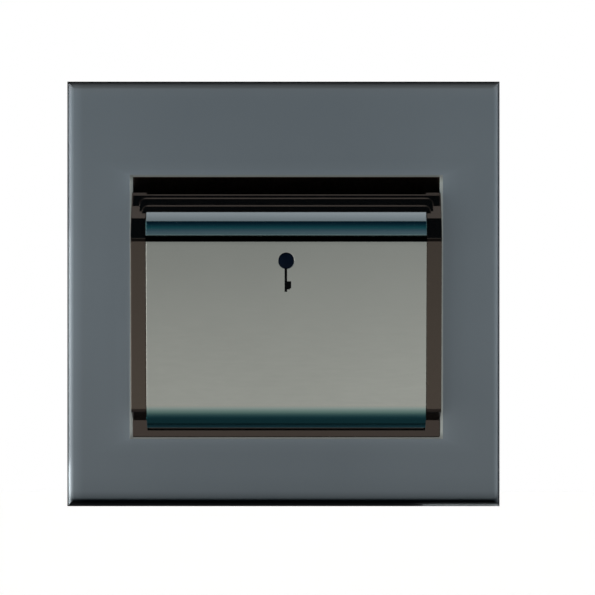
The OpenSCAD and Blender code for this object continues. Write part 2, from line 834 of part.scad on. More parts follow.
// Clear light guide: a domed lens in the cover, a collar behind it and a stem to the slot's wall
module led_lens() {
    front = face_front(lens_z, 0);
    collar_rim = 0.8;
    collar_r = lens_r + collar_rim;
    collar_t = 0.8;
    collar_front = face_front(lens_z - collar_r, cover_wall + seat);
    stem_back = slot_front(lens_z) + tip_gap;
    dome_r = 6;
    dome_out = 0.15;
    color("midnightblue") translate([insert_shift, 0, 0]) {
        intersection() {
            rod(0, lens_z, lens_r, -front - 2 * dome_out, -collar_front + collar_t / 2);
            translate([0, dome_r - front - dome_out, lens_z]) sphere(dome_r);
        }
        rod(0, lens_z, collar_r, -collar_front, -collar_front + collar_t);
        rod(0, lens_z, stem_r, -collar_front + collar_t / 2, -stem_back);
    }
}

// Moulded lever: hub, arm, nose in the slot, pad for the plunger and spigot for the spring
module card_lever() {
    nose_top = nose_tip_r * [0.44, 0.9];
    color("ivory") difference() {
        union() {
            axle(pivot_depth, pivot_z, hub_r, lever_w);
            across_depth(lever_w) polygon([
                [arm_front, pivot_z], [arm_back, pivot_z], [arm_back, arm_low], [arm_front, arm_low]
            ]);
            across_depth(nose_w) {
                polygon([
                    [arm_front + lap, pivot_z - nose_root_drop], nose_tip + nose_top,
                    nose_tip + [nose_tip_r, -nose_tip_r], [arm_front + lap, nose_tip[1] - nose_heel_drop]
                ]);
                translate(nose_tip + [nose_tip_r, 0]) circle(nose_tip_r);
            }
            axle(pad_depth, plunger_z, pad_r, pad_w);
            rod(0, spring_z, spigot_r, arm_back - lap, arm_back + spigot_l);
        }
        axle(pivot_depth, pivot_z, pin_r + pin_gap, 2 * lever_w);
    }
}

// Steel pin through the lever and its two lugs
module lever_pin() {
    color("silver") axle(pivot_depth, pivot_z, pin_r, lever_w + 2 * (ear_gap + ear_w));
}

// Points along the spring: a straight end, the turns and a straight end
function spring_path() =
    let (
        rings = 8, // points in a turn
        straight = 2 * wire_r,
        rise = spring_l - 2 * straight - 2 * spring_seat,
        steps = rings * spring_turns,
        low = arm_back + spring_seat
    ) [
        [spring_r, low, 0],
        for (i = [0:steps])
            [
                spring_r * cos(360 * i / rings), low + straight + rise * i / steps,
                spring_r * sin(360 * i / rings)
            ],
        [spring_r, low + 2 * straight + rise, 0]
    ];

function unit(v) = v / norm(v);

// Six points round one point of the spring's path
function spring_ring(path, i) =
    let (
        before = path[max(i - 1, 0)],
        after = path[min(i + 1, len(path) - 1)],
        along = unit(after - before),
        out = unit([path[i][0], 0, path[i][2]]),
        up = unit(cross(along, out)),
        side = cross(up, along)
    ) [for (k = [0:5]) path[i] + wire_r * (cos(60 * k) * side + sin(60 * k) * up)];

// Least gap between a point and the points a whole turn or more along
function spring_gap(path) =
    min([
        for (i = [0:len(path) - 1], j = [i + 5:1:len(path) - 1]) norm(path[i] - path[j])
    ]) - 2 * wire_r;

// Coil spring that swings the lever's nose back into the slot
module return_spring() {
    path = spring_path();
    count = len(path);
    echo(spring_self_gap = spring_gap(path));
    points = [for (i = [0:count - 1]) each spring_ring(path, i)];
    walls = [
        for (i = [0:count - 2], k = [0:5])
            let (a = 6 * i + k, b = 6 * i + (k + 1) % 6)
                each [[a, b, b + 6], [a, b + 6, a + 6]]
    ];
    ends = [
        for (k = [1:4])
            each [[0, k + 1, k], [6 * (count - 1), 6 * (count - 1) + k, 6 * (count - 1) + k + 1]]
    ];
    color("silver") translate([0, 0, spring_z]) polyhedron(points, concat(walls, ends));
}

// Moulded tray of the switch, with a hole for the plunger and slots for the tabs
module switch_case() {
    lid_low = case_high - case_wall;
    slot_t = link_t + 2 * thread_gap;
    slot_h = tab_w + 2 * thread_gap;
    color("black") difference() {
        block([case_left, case_front, case_low], [case_right, case_back, lid_low - thread_gap]);
        block(
            [case_left + case_wall, case_front + case_wall, case_low + case_wall],
            [case_right - case_wall, case_back - case_wall, case_high]
        );
        rod(0, plunger_z, plunger_r + thread_gap, case_front - over, case_front + case_wall + over);
        for (x = [blade_pivot_x, contact_x])
            block(
                [x - slot_t / 2, case_back - case_wall - over, plunger_z - slot_h / 2],
                [x + slot_t / 2, case_back + over, plunger_z + slot_h / 2]
            );
    }
}

// Lid that closes the switch's tray
module switch_lid() {
    lip_back = case_back - case_wall - seat;
    color("darkslategray") {
        block([case_left, case_front, case_high - case_wall], [case_right, case_back, case_high]);
        block(
            [case_left + case_wall + seat, lip_back - lid_lip_t, case_high - case_wall - lid_lip_h],
            [case_right - case_wall - seat, lip_back, case_high - case_wall]
        );
    }
}

// Plunger of the switch, with a collar inside the case
module switch_plunger() {
    color("firebrick") {
        rod(0, plunger_z, plunger_r, plunger_tip, plunger_end_depth);
        rod(0, plunger_z, collar_r, case_front + case_wall + seat, case_front + case_wall + seat + collar_t);
    }
}

// Spring blade with a contact rivet, curled round its pivot
module contact_blade() {
    color("goldenrod") {
        block(
            [blade_pivot_x, blade_front, plunger_z - blade_w / 2],
            [contact_x + rivet_r, blade_front + blade_t, plunger_z + blade_w / 2]
        );
        translate([blade_pivot_x, blade_front + blade_t / 2, plunger_z - blade_w / 2])
            cylinder(h = blade_w, r = blade_curl_r);
        rod(contact_x, plunger_z, rivet_r, blade_front + blade_t, blade_front + blade_t + rivet_h);
    }
}

// A tab of the switch between two depths
module switch_tab(x, from, to) {
    block([x - link_t / 2, from, plunger_z - tab_w / 2], [x + link_t / 2, to, plunger_z + tab_w / 2]);
}

// Tab that carries the contact blade
module common_contact() {
    color("gold") switch_tab(blade_pivot_x, blade_front + blade_t / 2 + blade_curl_r + blade_gap, link_front);
}

// Tab with the contact that the blade closes on
module fixed_contact() {
    face = blade_front + blade_t + rivet_h + contact_gap;
    color("gold") {
        switch_tab(contact_x, face + rivet_h, link_front);
        rod(contact_x, plunger_z, rivet_r, face, face + rivet_h + lap);
    }
}

// Hole in a link for its terminal screw
module clamp_hole(x) {
    rod(x, clamp_z, clamp_r + clamp_gap, link_front - over, link_back + over);
}

// Flat link from the common tab up to the line terminal
module common_link() {
    color("peru") difference() {
        block(
            [-terminal_pitch - link_w / 2, link_front, plunger_z - tab_w / 2],
            [-terminal_pitch + link_w / 2, link_back, terminal_top]
        );
        clamp_hole(-terminal_pitch);
    }
}

// Bent link from the fixed contact's tab up to the load terminal
module load_link() {
    color("peru") difference() {
        union() {
            block(
                [terminal_pitch - link_w / 2, link_front, plunger_z - tab_w / 2],
                [terminal_pitch + link_w / 2, link_back, terminal_top]
            );
            block(
                [contact_x - link_w / 3, link_front, plunger_z - tab_w / 2],
                [terminal_pitch, link_back, plunger_z + tab_w / 2]
            );
        }
        clamp_hole(terminal_pitch);
    }
}

// Brass block with a bore for the wire and a crossing hole for the clamp screw
module terminal(x, back) {
    color("gold") difference() {
        block([x - terminal_w / 2, terminal_front, terminal_low], [x + terminal_w / 2, back, terminal_top]);
        translate([x, wire_depth, terminal_low - over]) cylinder(h = terminal_h + 2 * over, r = wire_bore_r);
        rod(x, clamp_z, clamp_r + thread_gap, wire_depth, back + over);
    }
}

// Terminal of the supply's line
module line_terminal() {
    terminal(-terminal_pitch, link_front);
}

// Terminal of the supply's neutral
module neutral_terminal() {
    terminal(0, link_back);
}

// Terminal of the switched load
module load_terminal() {
    terminal(terminal_pitch, link_front);
}

// Three clamp screws, backed out of the wire bores
module terminal_screws() {
    color("silver") for (i = [-1:1])
        screw(
            i * terminal_pitch, clamp_z, clamp_r, clamp_head_r, clamp_head_h, link_back,
            wire_depth + wire_bore_r + clamp_gap
        );
}

// Board behind the frame that carries the lamp
module led_board() {
    color("darkgreen") difference() {
        block([-board_w / 2, board_off, board_low], [board_w / 2, board_back, board_low + board_h]);
        for (side = [-1, 1])
            rod(
                side * board_screw_x, board_screw_z, board_screw_r + board_screw_gap,
                board_off - over, board_back + over
            );
        for (x = board_pin_places())
            rod(x, board_pin_z, board_pin_r + thread_gap, board_off - over, board_back + over);
        for (x = led_lead_places())
            rod(insert_shift + x, lens_z, led_lead_r + led_lead_gap, board_off - over, board_back + over);
    }
}

function board_pin_places() = [-terminal_pitch, 0];

function led_lead_places() = led_lead_pitch * [-0.5, 0.5];

// Domed lamp with a flange and two leads
module led() {
    color("aliceblue") translate([insert_shift, 0, 0]) {
        rod(0, lens_z, led_r, led_r + board_off - led_l, board_off);
        translate([0, led_r + board_off - led_l, lens_z]) sphere(led_r);
        rod(0, lens_z, led_rim_r, board_off - led_rim_t, board_off);
        for (x = led_lead_places())
            rod(x, lens_z, led_lead_r, board_off - led_rim_t / 2, board_back + led_lead_out);
    }
}

// Two resistors across the rear of the board
module led_resistors() {
    body_r = 1.1;
    body_l = 6;
    lead_r = 0.3;
    lead_l = 2;
    first_rise = 8.2;
    pitch = 3.4;
    depth = board_back + body_r + seat;
    color("tan") for (i = [0, 1]) {
        z = board_low + first_rise + pitch * i;
        axle(depth, z, body_r, body_l);
        axle(depth, z, lead_r, body_l + 2 * lead_l);
        for (side = [-1, 1]) rod(side * (body_l / 2 + lead_l - lead_r), z, lead_r, board_back, depth);
    }
}

// Stiff pins from the board to the line and neutral terminals
module board_pins() {
    color("gold") for (x = board_pin_places()) 
        rod(x, board_pin_z, board_pin_r, board_off - board_pin_out, terminal_front);
}

// Two screws that hold the board on the frame
module board_screws() {
    color("silver") for (side = [-1, 1])
        screw(
            side * board_screw_x, board_screw_z, board_screw_r, board_head_r, board_head_h, board_back,
            -frame_t + blind_wall + tip_gap
        );
}

// Moulded tub in the wall box, with shelves for the switch and the terminals
module rear_housing() {
    rear = tub_d - tub_wall;
    room_w = tub_w - 2 * tub_wall;
    fence_out = 0.5;
    fence_front = terminal_front - fence_out;
    cup_end = arm_back + spring_l;
    color("whitesmoke") difference() {
        union() {
            difference() {
                translate([0, 0, tub_mid]) inside(0, tub_d) rounded(tub_w, tub_h, tub_r);
                translate([0, 0, tub_mid]) inside(-over, rear)
                    rounded(room_w, tub_h - 2 * tub_wall, tub_r - tub_wall);
            }
            for (side = [-1, 1], z = housing_screw_heights()) housing_lug(side, z);
            shelf(case_low - seat - shelf_t, shelf_front, shelf_back);
            shelf(case_high + seat, shelf_front, shelf_back);
            shelf(terminal_low - seat - shelf_t, fence_front, link_front - lap);
            for (x = [case_left - seat - shelf_t, case_right + seat])
                block([x, shelf_front, case_low - seat], [x + shelf_t, shelf_back, case_high + seat]);
            block([case_stop_x[0], case_back + seat, case_low], [case_stop_x[1], rear + lap, case_high]);
            for (side = [-1, 1])
                block(
                    [(side * terminal_pitch - shelf_t) / 2, fence_front, terminal_low - seat - shelf_t],
                    [(side * terminal_pitch + shelf_t) / 2, rear + lap, tub_top - tub_wall / 2]
                );
            rod(0, spring_z, spring_r + cup_wall, cup_end, rear + lap);
            rod(0, spring_z, spigot_r, cup_end - cup_spigot_l, rear);
        }
        for (i = [-1:1]) {
            translate([i * terminal_pitch, wire_depth, tub_top - 2 * tub_wall])
                cylinder(h = 3 * tub_wall, r = wire_bore_r + entry_gap);
            rod(i * terminal_pitch, clamp_z, clamp_head_r + entry_gap, rear - over, tub_d + over);
        }
    }
}

// A shelf across the rear housing
module shelf(z, from, to) {
    half_w = tub_w / 2 - tub_wall / 2;
    block([-half_w, from, z], [half_w, to, z + shelf_t]);
}

// A lug of the rear housing, for one of its screws
module housing_lug(side, z) {
    difference() {
        union() {
            rod(side * ear_x, z, ear_r, 0, ear_t);
            block(
                [min(side * ear_x, side * (tub_w / 2 - tub_wall)), 0, z - ear_r],
                [max(side * ear_x, side * (tub_w / 2 - tub_wall)), ear_t, z + ear_r]
            );
        }
        rod(side * ear_x, z, case_screw_r + case_screw_gap, -over, ear_t + over);
    }
}

// Four screws that hold the rear housing on the frame
module housing_screws() {
    color("silver") for (side = [-1, 1], z = housing_screw_heights())
        screw(
            side * ear_x, z, case_screw_r, case_head_r, case_head_h, ear_t, -frame_t + blind_wall + tip_gap
        );
}

face_plate();
mounting_frame();
card_housing();
slot_back_panel();
panel_screws();
front_cover();
led_lens();
card_lever();
lever_pin();
return_spring();
switch_case();
switch_lid();
switch_plunger();
contact_blade();
common_contact();
fixed_contact();
common_link();
load_link();
line_terminal();
neutral_terminal();
load_terminal();
terminal_screws();
led_board();
led();
led_resistors();
board_pins();
board_screws();
rear_housing();
housing_screws();
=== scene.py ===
"""Looks of the hotel key card switch: materials, key sign, window bead, coil spring, floor, studio and camera."""
import math

import bmesh
import bpy
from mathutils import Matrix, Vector


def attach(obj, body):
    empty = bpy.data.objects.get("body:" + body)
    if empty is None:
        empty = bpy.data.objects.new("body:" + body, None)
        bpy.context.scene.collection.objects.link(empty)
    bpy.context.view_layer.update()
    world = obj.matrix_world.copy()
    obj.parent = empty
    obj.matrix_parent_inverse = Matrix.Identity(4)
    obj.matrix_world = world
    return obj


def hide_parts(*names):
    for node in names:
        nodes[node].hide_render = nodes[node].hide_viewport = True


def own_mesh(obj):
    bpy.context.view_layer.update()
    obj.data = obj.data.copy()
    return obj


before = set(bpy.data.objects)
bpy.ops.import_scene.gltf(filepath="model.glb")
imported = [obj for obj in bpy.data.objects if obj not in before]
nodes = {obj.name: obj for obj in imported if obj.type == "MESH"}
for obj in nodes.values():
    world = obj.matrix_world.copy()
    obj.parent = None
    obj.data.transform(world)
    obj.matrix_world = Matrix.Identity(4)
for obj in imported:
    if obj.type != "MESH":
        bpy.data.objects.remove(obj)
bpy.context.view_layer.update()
MM = 0.001

# Measures that this script shares with the solids. The holder's middle lies to the right of the plate's middle
HOLDER_X = 0.6 * MM
WINDOW_Z = -2.6 * MM
PLATE_FRONT = 5.6 * MM
# The cover's leaning face: the place of its top, and its angle
COVER_TOP_Z = 10.23 * MM
COVER_TOP_FRONT = 15.975 * MM
LEAN = math.radians(5.28)


# ---- node helpers

NOISE_SPAN = (0.3, 0.7)  # the part of 0 to 1 that noise mostly fills
BEVEL_SAMPLES = 8
MIX_FIRST, MIX_SECOND, MIX_RESULT = 6, 7, 2  # the colour sockets of a Mix node


def new_material(name):
    """A material, its node tree and its shader."""
    mat = bpy.data.materials.new(name)
    mat.use_nodes = True
    tree = mat.node_tree
    return mat, tree, tree.nodes["Principled BSDF"]


def add(tree, kind, **sockets):
    """A node of a kind, with the given values on its input sockets."""
    node = tree.nodes.new(kind)
    for name, value in sockets.items():
        node.inputs[name.replace("_", " ")].default_value = value
    return node


def feed(tree, value, socket):
    """Links an output to an input socket, or sets a plain value on it."""
    if isinstance(value, bpy.types.NodeSocket):
        tree.links.new(value, socket)
    else:
        socket.default_value = value


def maths(tree, operation, first, second):
    """A Math node on an output, and on a number or another output."""
    node = tree.nodes.new("ShaderNodeMath")
    node.operation = operation
    tree.links.new(first, node.inputs[0])
    feed(tree, second, node.inputs[1])
    return node.outputs["Value"]


def mix_colours(tree, first, second, factor, blend="MIX"):
    """A Mix node on a colour output. The second colour and the factor are outputs or plain values."""
    node = tree.nodes.new("ShaderNodeMix")
    node.data_type = "RGBA"
    node.blend_type = blend
    tree.links.new(first, node.inputs[MIX_FIRST])
    feed(tree, second, node.inputs[MIX_SECOND])
    feed(tree, factor, node.inputs["Factor"])
    return node.outputs[MIX_RESULT]


def place(tree, space="Object"):
    """Outputs X, Y and Z of a place on the object, or of a direction in the world."""
    coord = tree.nodes.new("ShaderNodeTexCoord")
    split = tree.nodes.new("ShaderNodeSeparateXYZ")
    tree.links.new(coord.outputs[space], split.inputs["Vector"])
    return split.outputs


def noise(tree, scale, detail, rough=0.55, stretch=(1, 1, 1)):
    """Noise in object space, in cells per metre, drawn out along an axis by stretch."""
    coord = tree.nodes.new("ShaderNodeTexCoord")
    mapping = add(tree, "ShaderNodeMapping", Scale=stretch)
    tex = add(tree, "ShaderNodeTexNoise", Scale=scale, Detail=detail, Roughness=rough)
    tree.links.new(coord.outputs["Object"], mapping.inputs["Vector"])
    tree.links.new(mapping.outputs["Vector"], tex.inputs["Vector"])
    return tex.outputs["Fac"]


def spread(tree, fac, low, high, span=NOISE_SPAN):
    """Maps a span of a factor to a range of values."""
    node = add(tree, "ShaderNodeMapRange", From_Min=span[0], From_Max=span[1], To_Min=low, To_Max=high)
    tree.links.new(fac, node.inputs["Value"])
    return node.outputs["Result"]


def two_tone(tree, fac, dark, light):
    """A colour between a dark and a light tone, by noise."""
    ramp = tree.nodes.new("ShaderNodeValToRGB")
    for element, at, tone in zip(ramp.color_ramp.elements, NOISE_SPAN, (dark, light)):
        element.position = at
        element.color = (*tone, 1)
    tree.links.new(fac, ramp.inputs["Fac"])
    return ramp.outputs["Color"]


def bands(tree, value, stops, unit):
    """Colours, or levels of grey, at places along a value, with even steps between them. The places are in units."""
    stops = [(at, tone if isinstance(tone, tuple) else (tone, tone, tone)) for at, tone in stops]
    first, last = stops[0][0], stops[-1][0]
    ramp = tree.nodes.new("ShaderNodeValToRGB")
    elements = ramp.color_ramp.elements
    elements[0].color = (*stops[0][1], 1)
    elements[1].color = (*stops[-1][1], 1)
    for at, tone in stops[1:-1]:
        elements.new((at - first) / (last - first)).color = (*tone, 1)
    tree.links.new(spread(tree, value, 0.0, 1.0, (first * unit, last * unit)), ramp.inputs["Fac"])
    return ramp.outputs["Color"]


def multiply(tree, distance, stops):
    """Multiplies the colour of a material by levels or colours at places along a distance, in millimetres."""
    colour_in = tree.nodes["Principled BSDF"].inputs["Base Color"]
    source = colour_in.links[0].from_socket
    product = mix_colours(tree, source, bands(tree, distance, stops, MM), 1.0, "MULTIPLY")
    tree.links.new(product, colour_in)


def drift(mat, axis, stops):
    """Multiplies a material's colour along an axis of the object."""
    multiply(mat.node_tree, place(mat.node_tree)[axis], stops)


def border(mat, mid, half, falls, stops):
    """Multiplies a material's colour by the distance from the sides of a rectangle in x and z.

    A distance counts as often as falls says, beside the rectangle and over or under it.
    """
    tree = mat.node_tree
    at = place(tree)
    sides = []
    for axis, centre, reach, fall in zip("XZ", mid, half, falls):
        offset = maths(tree, "SUBTRACT", at[axis], centre)
        beyond = maths(tree, "SUBTRACT", maths(tree, "ABSOLUTE", offset, 0.0), reach)
        sides.append(maths(tree, "MULTIPLY", beyond, fall))
    multiply(tree, maths(tree, "MAXIMUM", *sides), stops)


def worn_normal(tree, bsdf, height, depth, strength, edge):
    """Bump from a height, over edges that are rounded by a radius."""
    rounded = add(tree, "ShaderNodeBevel", Radius=edge)
    rounded.samples = BEVEL_SAMPLES
    bump = add(tree, "ShaderNodeBump", Strength=strength, Distance=depth)
    tree.links.new(height, bump.inputs["Height"])
    tree.links.new(rounded.outputs["Normal"], bump.inputs["Normal"])
    tree.links.new(bump.outputs["Normal"], bsdf.inputs["Normal"])


# ---- materials

# Patches in the tone, in cells per metre, and the grain's own roughness and depth
METAL_PATCHES, PLASTIC_PATCHES = 60, 90
GRAIN_ROUGH = 0.6
METAL_GRAIN, PLASTIC_GRAIN, LENS_GRAIN = 0.02 * MM, 0.03 * MM, 0.01 * MM
WEAVE_DEPTH = 0.02 * MM


def surface(tree, bsdf, patches, tones, fine, rough, worn):
    """Patchy tone, with a fine grain in the roughness and in the bump."""
    tree.links.new(two_tone(tree, patches, *tones), bsdf.inputs["Base Color"])
    tree.links.new(spread(tree, fine, *rough), bsdf.inputs["Roughness"])
    worn_normal(tree, bsdf, fine, *worn)


def metal(name, dark, light, rough, grain, stretch=(1, 1, 1), edge=0.12 * MM, bump=0.03):
    """Plated or drawn metal: patchy tone, fine grain in the roughness and a faint bump."""
    mat, tree, bsdf = new_material(name)
    bsdf.inputs["Metallic"].default_value = 1.0
    patches = noise(tree, METAL_PATCHES, 3)
    fine = noise(tree, grain, 3, GRAIN_ROUGH, stretch)
    surface(tree, bsdf, patches, (dark, light), fine, rough, (METAL_GRAIN, bump, edge))
    return mat


def plastic(name, dark, light, rough, grain, bump, edge=0.15 * MM, level=0.5, tint=(1, 1, 1)):
    """Moulded plastic: slight flow marks in the tone and a fine spark-eroded texture."""
    mat, tree, bsdf = new_material(name)
    bsdf.inputs["Specular IOR Level"].default_value = level
    bsdf.inputs["Specular Tint"].default_value = (*tint, 1)
    patches = noise(tree, PLASTIC_PATCHES, 4)
    fine = noise(tree, grain, 2, GRAIN_ROUGH)
    surface(tree, bsdf, patches, (dark, light), fine, rough, (PLASTIC_GRAIN, bump, edge))
    return mat


plate_metal = metal("plate_black_nickel", (0.167, 0.187, 0.208), (0.173, 0.193, 0.214), (0.44, 0.46), 1800,
                    edge=0.15 * MM, bump=0.0)
# Painted shade: the plate's colour darkens towards the lower edge, most over its last few millimetres
drift(plate_metal, "Z", [(-42.3, 0.50), (-40.5, 0.52), (-39.2, 0.80), (-36, 0.87), (-22, 0.94), (-8, 1.04), (8, 1.08),
                         (24, 1.05), (42, 1.02)])
# Painted highlights: the plate's colour is lighter along its left and right rims
drift(plate_metal, "X", [(-43, 1.06), (-42.1, 1.06), (-41.4, 1.30), (-39.8, 1.05), (-10, 1.0), (12, 1.01), (30, 1.08),
                         (41.5, 1.10), (42.4, 1.55), (43, 1.10)])
# Painted light: the plate is lighter along the sides of its window, and over a shorter way above and below it, against
# the holder's shade there
border(plate_metal, (HOLDER_X, WINDOW_Z), (30.55 * MM, 25.9 * MM), (1.0, 2.5),
       [(0, 1.30), (0.8, 1.23), (2.0, 1.12), (4.0, 1.04), (8.0, 1.0)])

cover_metal = metal("cover_black_nickel", (0.238, 0.243, 0.233), (0.246, 0.251, 0.241), (0.13, 0.16), 2200,
                    stretch=(0.12, 1, 1), edge=0.2 * MM, bump=0.006)
# Painted shade: the seam under the brow is near black and the face just under it a little darker; painted reflection:
# the chamfer over the brow grows lighter towards the slot
drift(cover_metal, "Z", [(9.4, 1.0), (10.16, 0.90), (10.22, 0.015), (11.20, 0.015), (11.25, 1.0), (14.1, 1.0),
                         (14.3, 0.78), (15.8, 1.28), (16.3, 1.28)])
# Painted reflection: the cover's colour turns petrol blue round the rolled lower edge and the brow
drift(cover_metal, "Z", [
    (-26.8, (0.27, 1.20, 1.50)), (-24.4, (0.27, 1.20, 1.50)), (-23.4, (0.68, 1.20, 1.12)), (-22.0, 1.0),
    (11.2, 1.0), (11.3, (0.78, 1.04, 1.09)), (12.3, (0.76, 1.02, 1.10)), (13.0, (0.50, 1.04, 1.10)),
    (14.2, (0.50, 0.98, 1.13)), (14.3, (0.85, 1.01, 1.14)), (16.3, (0.90, 1.0, 1.12)),
])
# It is a little lighter towards the right
drift(cover_metal, "X", [(-28, 0.95), (-10, 0.98), (14, 1.06), (29, 1.10)])

# Painted highlight: the bead's light tone, brighter than the plate, stands in for the highlight along the window's edge
bead_highlight_metal = metal("plate_bead_painted_highlight", (0.39, 0.398, 0.382), (0.41, 0.418, 0.402), (0.40, 0.43), 1800,
                   edge=0.01 * MM, bump=0.0)
# Painted highlights: the bead is brightest at the right, less at the left, and least over and under the window
drift(bead_highlight_metal, "X", [(-31, 0.78), (-29.95, 0.78), (-29.75, 1.0), (30.95, 1.0), (31.15, 1.19), (32.3, 1.19)])
drift(bead_highlight_metal, "Z", [(-29, 0.62), (-28.4, 0.62), (-27.4, 1.0), (22.2, 1.0), (23.2, 0.62), (24, 0.62)])

holder_plastic = plastic("holder_gloss_plastic", (0.0010, 0.0008, 0.0006), (0.0016, 0.0013, 0.0010), (0.16, 0.22), 3000,
                         bump=0.015, edge=0.2 * MM, level=0.8, tint=(0.86, 0.69, 0.59))
frame_plastic = plastic("frame_textured_plastic", (0.030, 0.030, 0.031), (0.044, 0.044, 0.045), (0.45, 0.6), 2600,
                        bump=0.25)
tub_plastic = plastic("tub_ivory_plastic", (0.70, 0.685, 0.64), (0.76, 0.745, 0.70), (0.38, 0.52), 2400, bump=0.2)
lever_plastic = plastic("lever_acetal", (0.70, 0.66, 0.56), (0.78, 0.74, 0.64), (0.32, 0.42), 1600, bump=0.06)
switch_plastic = plastic("switch_thermoset", (0.018, 0.018, 0.019), (0.030, 0.030, 0.032), (0.38, 0.5), 2200,
                         bump=0.15)
plunger_plastic = plastic("plunger_red_plastic", (0.42, 0.035, 0.025), (0.52, 0.05, 0.035), (0.22, 0.3), 1500,
                          bump=0.04)
sign_ink = plastic("sign_black_ink", (0.0012, 0.0016, 0.0020), (0.0020, 0.0026, 0.0030), (0.45, 0.55), 2600,
                   bump=0.03, edge=0.03 * MM, level=0.02)
resistor_paint = plastic("resistor_lacquer", (0.55, 0.42, 0.26), (0.66, 0.52, 0.34), (0.18, 0.28), 900, bump=0.05)
spring_steel = metal("spring_wire", (0.50, 0.50, 0.51), (0.62, 0.62, 0.63), (0.2, 0.32), 3000, stretch=(1, 0.1, 1),
                     edge=0.03 * MM)
screw_steel = metal("zinc_plate", (0.58, 0.58, 0.60), (0.70, 0.70, 0.69), (0.2, 0.34), 1500)
copper = metal("copper_alloy", (0.60, 0.30, 0.16), (0.74, 0.40, 0.23), (0.22, 0.36), 1400, stretch=(1, 1, 0.1))
brass = metal("machined_brass", (0.66, 0.48, 0.20), (0.78, 0.60, 0.29), (0.2, 0.34), 2600, stretch=(1, 0.2, 1),
              edge=0.15 * MM)


def lens_material():
    """Deep blue tinted plastic with an anti-glare face."""
    mat, tree, bsdf = new_material("lens_blue_acrylic")
    bsdf.inputs["Specular IOR Level"].default_value = 0.02
    tones = (0.0012, 0.0034, 0.0090), (0.0020, 0.0050, 0.0125)
    patches, fine = noise(tree, 500, 3), noise(tree, 2500, 2)
    surface(tree, bsdf, patches, tones, fine, (0.20, 0.28), (LENS_GRAIN, 0.02, 0.1 * MM))
    return mat


def led_material():
    """Water-clear epoxy with a faint blue cast."""
    mat, tree, bsdf = new_material("led_clear_epoxy")
    bsdf.inputs["Transmission Weight"].default_value = 0.75
    bsdf.inputs["IOR"].default_value = 1.52
    tone = two_tone(tree, noise(tree, 700, 3), (0.74, 0.84, 0.92), (0.84, 0.92, 0.97))
    tree.links.new(tone, bsdf.inputs["Base Color"])
    tree.links.new(spread(tree, noise(tree, 1500, 2), 0.06, 0.12), bsdf.inputs["Roughness"])
    return mat


def board_material():
    """Green solder mask over a woven laminate."""
    mat, tree, bsdf = new_material("board_solder_mask")
    coord = tree.nodes.new("ShaderNodeTexCoord")
    weave = add(tree, "ShaderNodeTexChecker", Scale=2600)
    tree.links.new(coord.outputs["Object"], weave.inputs["Vector"])
    tone = two_tone(tree, noise(tree, 300, 3), (0.012, 0.075, 0.030), (0.022, 0.110, 0.045))
    tree.links.new(tone, bsdf.inputs["Base Color"])
    tree.links.new(spread(tree, weave.outputs["Fac"], 0.26, 0.36, (0, 1)), bsdf.inputs["Roughness"])
    worn_normal(tree, bsdf, weave.outputs["Fac"], WEAVE_DEPTH, 0.08, 0.1 * MM)
    return mat


looks = {
    plate_metal: ["face_plate"],
    cover_metal: ["front_cover"],
    holder_plastic: ["card_housing", "slot_back_panel"],
    frame_plastic: ["mounting_frame"],
    tub_plastic: ["rear_housing"],
    lens_material(): ["led_lens"],
    lever_plastic: ["card_lever"],
    switch_plastic: ["switch_case", "switch_lid"],
    plunger_plastic: ["switch_plunger"],
    spring_steel: ["lever_pin"],
    screw_steel: ["panel_screws", "terminal_screws", "board_screws", "housing_screws"],
    copper: ["contact_blade", "common_link", "load_link"],
    brass: ["line_terminal", "neutral_terminal", "load_terminal", "common_contact", "fixed_contact", "board_pins"],
    board_material(): ["led_board"],
    led_material(): ["led"],
    resistor_paint: ["led_resistors"],
}
for material, names in looks.items():
    for name in names:
        nodes[name].data.materials.clear()
        nodes[name].data.materials.append(material)


# ---- pieces that the solids leave to this script

def mesh_object(name, bm, material):
    """An object of one material in the scene, from a bmesh that is used up."""
    mesh = bpy.data.meshes.new(name)
    bm.to_mesh(mesh)
    bm.free()
    mesh.materials.append(material)
    obj = bpy.data.objects.new(name, mesh)
    bpy.context.scene.collection.objects.link(obj)
    return obj


def mesh_piece(name, bm, material, body):
    """A piece of the part, riding on a body."""
    obj = mesh_object(name, bm, material)
    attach(obj, body)
    return obj


def on_cover(x, z, proud):
    """A point on the cover's leaning face, standing proud of it."""
    front = COVER_TOP_FRONT - (COVER_TOP_Z - z) * math.tan(LEAN)
    return Vector((HOLDER_X + x, -front - proud * math.cos(LEAN), z - proud * math.sin(LEAN)))


def key_sign():
    """Stem and bit of the key sign under the lens: a thin black inlay with softened edges."""
    left, right, low, high = -0.335 * MM, 0.175 * MM, 0.38 * MM, 4.97 * MM
    bit, toe, foot, heel, top = 0.97 * MM, 0.72 * MM, 0.86 * MM, 1.08 * MM, 2.45 * MM
    sunk, raised, soft = -0.1 * MM, 0.04 * MM, 0.03 * MM
    outline = [(left, high), (left, low), (right, low), (right, foot), (toe, foot), (toe, heel), (bit, heel),
               (bit, top), (right, top), (right, high)]
    bm = bmesh.new()
    face = bm.faces.new([bm.verts.new(on_cover(x, z, sunk)) for x, z in outline])
    moved = bmesh.ops.extrude_face_region(bm, geom=[face])
    front = [v for v in moved["geom"] if isinstance(v, bmesh.types.BMVert)]
    bmesh.ops.translate(bm, verts=front, vec=on_cover(0, 0, raised) - on_cover(0, 0, sunk))
    bmesh.ops.recalc_face_normals(bm, faces=bm.faces)
    edges = [e for e in bm.edges if e.verts[0] in front and e.verts[1] in front]
    bmesh.ops.bevel(bm, geom=edges, offset=soft, segments=3, affect="EDGES", profile=0.6)
    mesh_piece("key_sign", bm, sign_ink, "base")


